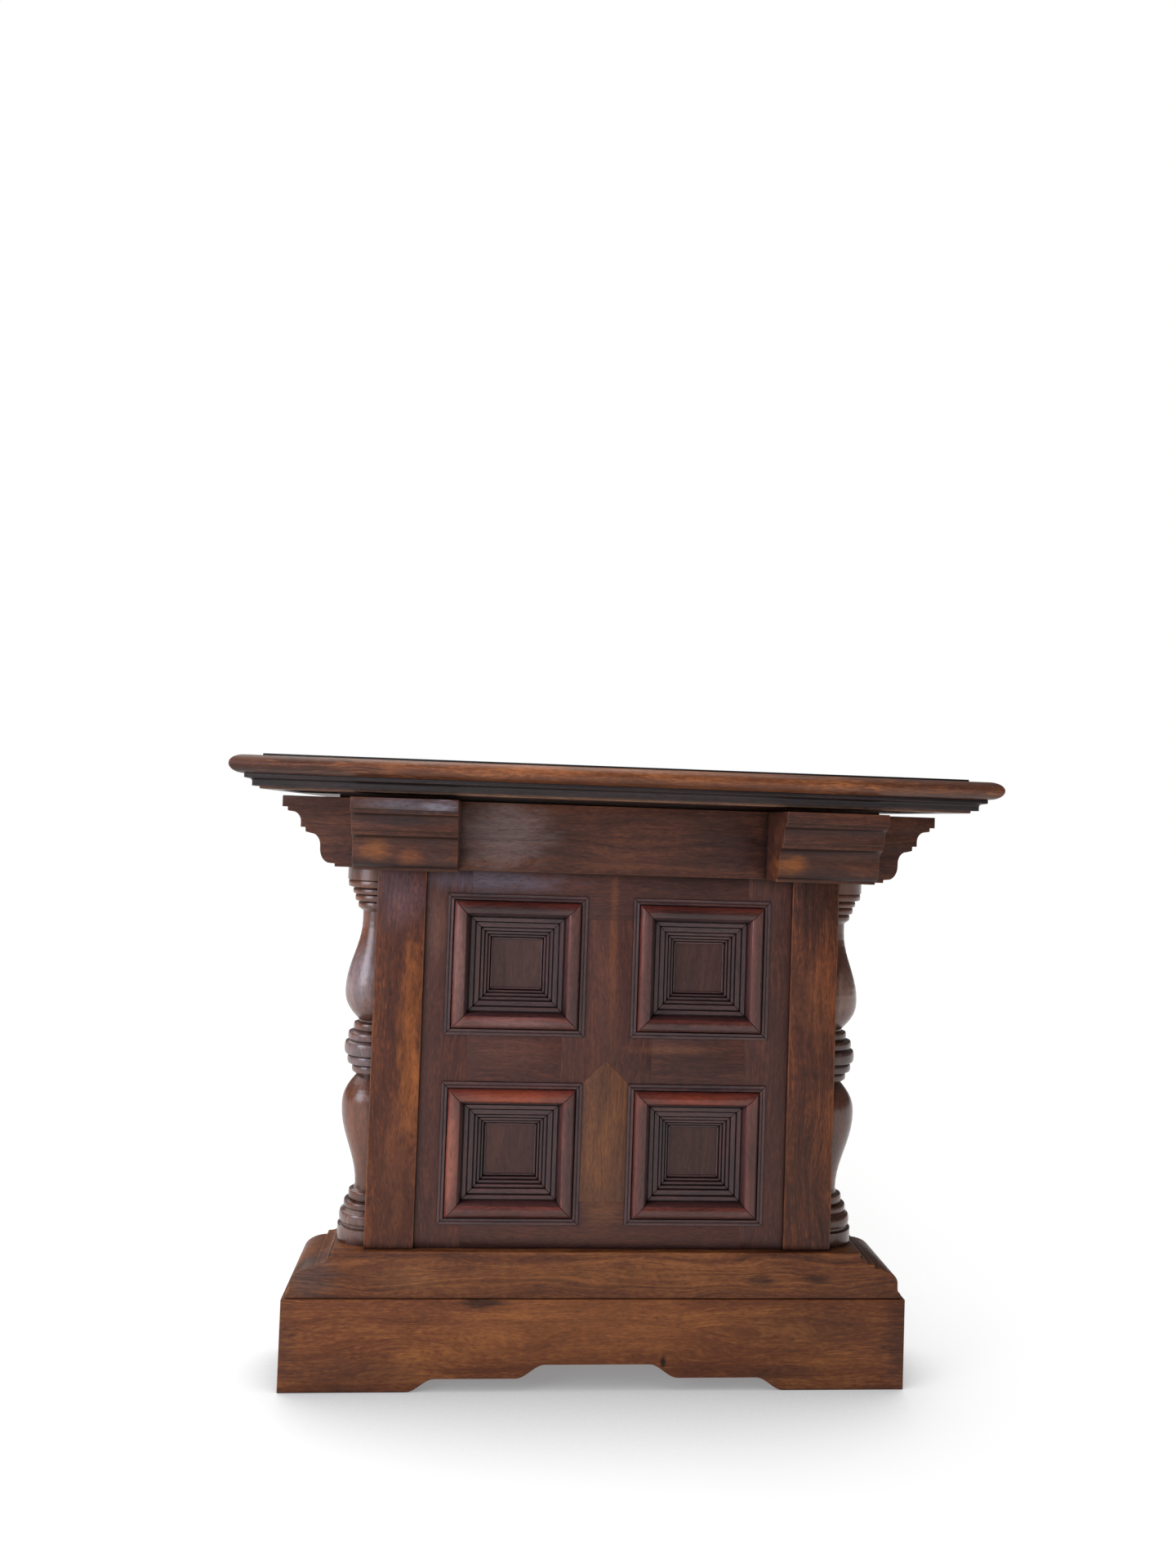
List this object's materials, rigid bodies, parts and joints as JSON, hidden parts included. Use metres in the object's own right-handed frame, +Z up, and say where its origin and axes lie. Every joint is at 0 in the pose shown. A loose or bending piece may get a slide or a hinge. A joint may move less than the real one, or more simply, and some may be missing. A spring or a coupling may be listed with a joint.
{
  "type": "communion table",
  "caption": "Long walnut table with panelled slab ends, split turned columns, ogee bearers with brackets, scalloped plinths, a stretcher and a bullnose top.",
  "frame": {"origin": "on the floor, under the middle of the top", "axes": "+Z up, Y along the table with the front end facing -Y, X across its width"},
  "size_m": [0.892, 1.83, 0.762],
  "materials": {
    "top_covering": "thin dark covering, satin, seen on its edge only",
    "lipping_walnut": "walnut, orange-brown, satin polish, long straight grain",
    "dark_moulding": "walnut, stained almost black, low sheen",
    "carcase_walnut": "plain brown walnut, thin matt finish",
    "plinth_walnut": "warm brown walnut, long grain with knots, worn satin polish",
    "stile_walnut": "walnut with orange streaks along the grain, satin polish, pale worn arrises",
    "frame_walnut": "mid-brown walnut, satin polish",
    "light_walnut": "paler walnut, satin polish",
    "coffer_walnut": "reddish dark walnut mouldings with black stain in the quirks, satin polish",
    "column_walnut": "dark reddish walnut turnings, glossier polish",
    "frieze_walnut": "brown walnut with an orange figure, satin polish"
  },
  "bodies": {
    "root": {"top_field": "top_covering", "lipping_left": "lipping_walnut", "lipping_right": "lipping_walnut", "lipping_front": "lipping_walnut", "lipping_back": "lipping_walnut", "moulding_left": "dark_moulding", "moulding_right": "dark_moulding", "moulding_front": "dark_moulding", "moulding_back": "dark_moulding", "top_panel": "carcase_walnut", "subframe_left": "carcase_walnut", "subframe_right": "carcase_walnut", "subframe_front": "carcase_walnut", "subframe_back": "carcase_walnut", "batten_front": "carcase_walnut", "batten_back": "carcase_walnut", "stretcher": "carcase_walnut", "front_plinth": "plinth_walnut", "front_foot_beam": "plinth_walnut", "front_core": "carcase_walnut", "front_stile_l": "stile_walnut", "front_stile_r": "stile_walnut", "front_margin_l": "frame_walnut", "front_margin_r": "frame_walnut", "front_top_rail": "frame_walnut", "front_mid_rails": "frame_walnut", "front_bottom_rail": "frame_walnut", "front_upper_mullion": "frame_walnut", "front_lower_mullion": "light_walnut", "front_coffer_tl": "coffer_walnut", "front_coffer_tr": "coffer_walnut", "front_coffer_bl": "coffer_walnut", "front_coffer_br": "coffer_walnut", "front_half_column_l": "column_walnut", "front_half_column_r": "column_walnut", "front_bearer": "frieze_walnut", "front_bracket_l": "frieze_walnut", "front_bracket_r": "frieze_walnut", "back_plinth": "plinth_walnut", "back_foot_beam": "plinth_walnut", "back_core": "carcase_walnut", "back_stile_l": "stile_walnut", "back_stile_r": "stile_walnut", "back_margin_l": "frame_walnut", "back_margin_r": "frame_walnut", "back_top_rail": "frame_walnut", "back_mid_rails": "frame_walnut", "back_bottom_rail": "frame_walnut", "back_upper_mullion": "frame_walnut", "back_lower_mullion": "light_walnut", "back_coffer_tl": "coffer_walnut", "back_coffer_tr": "coffer_walnut", "back_coffer_bl": "coffer_walnut", "back_coffer_br": "coffer_walnut", "back_half_column_l": "column_walnut", "back_half_column_r": "column_walnut", "back_bearer": "frieze_walnut", "back_bracket_l": "frieze_walnut", "back_bracket_r": "frieze_walnut"}
  },
  "joints": []
}
